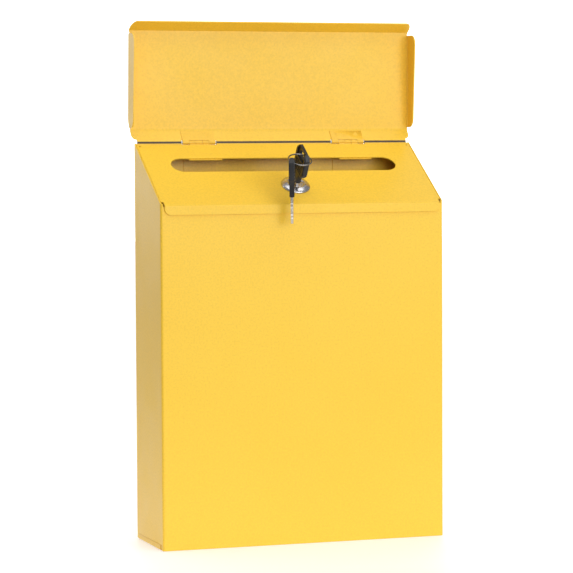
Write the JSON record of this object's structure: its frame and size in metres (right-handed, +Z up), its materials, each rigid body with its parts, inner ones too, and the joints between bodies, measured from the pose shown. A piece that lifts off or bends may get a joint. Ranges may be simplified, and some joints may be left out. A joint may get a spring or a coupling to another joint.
{
  "type": "mailbox",
  "caption": "Wall letter box of folded sheet with a sloped slotted door, a rear-hinged rain lid, a cam lock at the slope's foot and keys on a ring.",
  "frame": {"origin": "centre of the four-screw wall pattern on the outer face of the back panel", "axes": "+X right seen from the front, +Y back into the wall, +Z up"},
  "size_m": [0.2448, 0.1069, 0.4232],
  "materials": {
    "yellow_coat": "semi-gloss powder coat",
    "coated_hinge": "semi-gloss powder coat over steel",
    "zinc_steel": "zinc plated",
    "nickel": "bright nickel plate",
    "brass_wafer": "stamped",
    "key_steel": "nickel plated, milled edges",
    "ring_wire": "plated spring wire",
    "black_plastic": "moulded, satin gloss"
  },
  "bodies": {
    "box": {"body_wrap": "yellow_coat", "back_panel": "yellow_coat", "bottom_pan": "yellow_coat", "lock_strike": "yellow_coat", "hinge_body_leaf_l": "coated_hinge", "hinge_body_leaf_r": "coated_hinge", "hinge_pin_l": "zinc_steel", "hinge_pin_r": "zinc_steel"},
    "door": {"door_plate": "yellow_coat", "hinge_door_leaf_l": "coated_hinge", "hinge_door_leaf_r": "coated_hinge", "lock_barrel": "nickel", "lock_washer": "zinc_steel", "lock_nut": "zinc_steel"},
    "plug": {"lock_plug": "nickel", "lock_wafers": "brass_wafer", "lock_cam": "zinc_steel", "cam_washer": "zinc_steel", "cam_nut": "zinc_steel"},
    "lid": {"lid_panel": "yellow_coat", "hinge_lid_leaf_l": "coated_hinge", "hinge_lid_leaf_r": "coated_hinge"},
    "key": {"key_blade": "key_steel", "key_head": "black_plastic"},
    "ring": {"key_ring": "ring_wire"},
    "spare": {"spare_blade": "key_steel", "spare_head": "black_plastic"}
  },
  "joints": [
    {"name": "door_hinge", "type": "hinge", "parent": "box", "child": "door", "pos_m": [0, 0.0006, 0.164], "axis": [1, 0, 0], "range_deg": [-75, 0]},
    {"name": "lid_hinge", "type": "hinge", "parent": "box", "child": "lid", "pos_m": [0, 0.0006, 0.164], "axis": [1, 0, 0], "range_deg": [0, 95]},
    {"name": "plug_turn", "type": "hinge", "parent": "door", "child": "plug", "pos_m": [0, -0.05402, 0.12894], "axis": [0, -0.5388, 0.8425], "range_deg": [0, 90]},
    {"name": "key_slide", "type": "slide", "parent": "plug", "child": "key", "axis": [0, 0.5388, -0.8425], "range_m": [-0.025, 0]},
    {"name": "ring_swing", "type": "hinge", "parent": "key", "child": "ring", "pos_m": [0, -0.07395, 0.15364], "axis": [1, 0, 0], "range_deg": [-25, 0]},
    {"name": "spare_twist", "type": "hinge", "parent": "ring", "child": "spare", "pos_m": [-0.01347, -0.08482, 0.14786], "axis": [0, -0.5388, 0.8425], "range_deg": [-90, 0]}
  ],
  "couplings": [
    {"joint": "spare_twist", "follows": "plug_turn", "ratio": -1}
  ]
}
